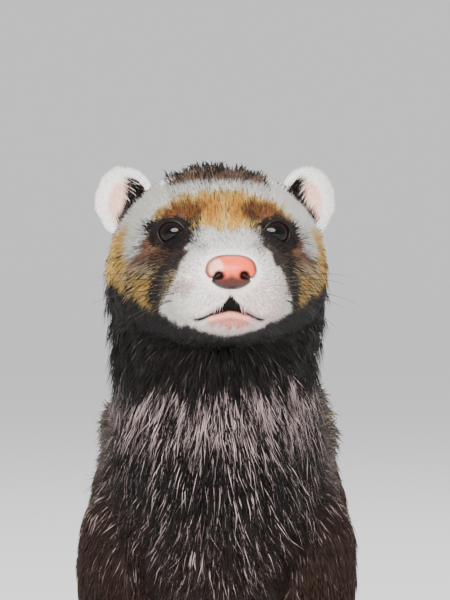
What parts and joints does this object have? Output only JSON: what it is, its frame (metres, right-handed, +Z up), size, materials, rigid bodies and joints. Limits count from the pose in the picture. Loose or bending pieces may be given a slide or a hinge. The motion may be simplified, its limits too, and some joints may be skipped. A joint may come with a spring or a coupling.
{
  "type": "ferret",
  "caption": "Life-size adult ferret in a dark sable coat, standing on four feet with raised neck and face forward, as a still display model.",
  "frame": {"origin": "on the floor under the middle of the whole animal's box", "axes": "+Z up, the face looks towards -Y, the tail trails towards +Y, the animal's left side is +X"},
  "size_m": [0.0904, 0.5127, 0.1747],
  "materials": {
    "face_coat": "short soft fur, cream with a brown mask",
    "throat_coat": "dense black-brown fur",
    "body_coat": "buff undercoat under dark guard hairs",
    "dark_coat": "dark brown fur",
    "ear_skin": "thin skin with fine pale fur",
    "nose_skin": "moist, finely pebbled",
    "eye": "wet gloss"
  },
  "bodies": {
    "root": {"head": "face_coat", "nose": "nose_skin", "eye_left": "eye", "eye_right": "eye", "ear_left": "ear_skin", "ear_right": "ear_skin", "neck": "throat_coat", "torso": "body_coat", "tail": "dark_coat", "foreleg_left": "dark_coat", "foreleg_right": "dark_coat", "hindleg_left": "dark_coat", "hindleg_right": "dark_coat", "forepaw_left": "dark_coat", "forepaw_right": "dark_coat", "hindpaw_left": "dark_coat", "hindpaw_right": "dark_coat"}
  },
  "joints": []
}
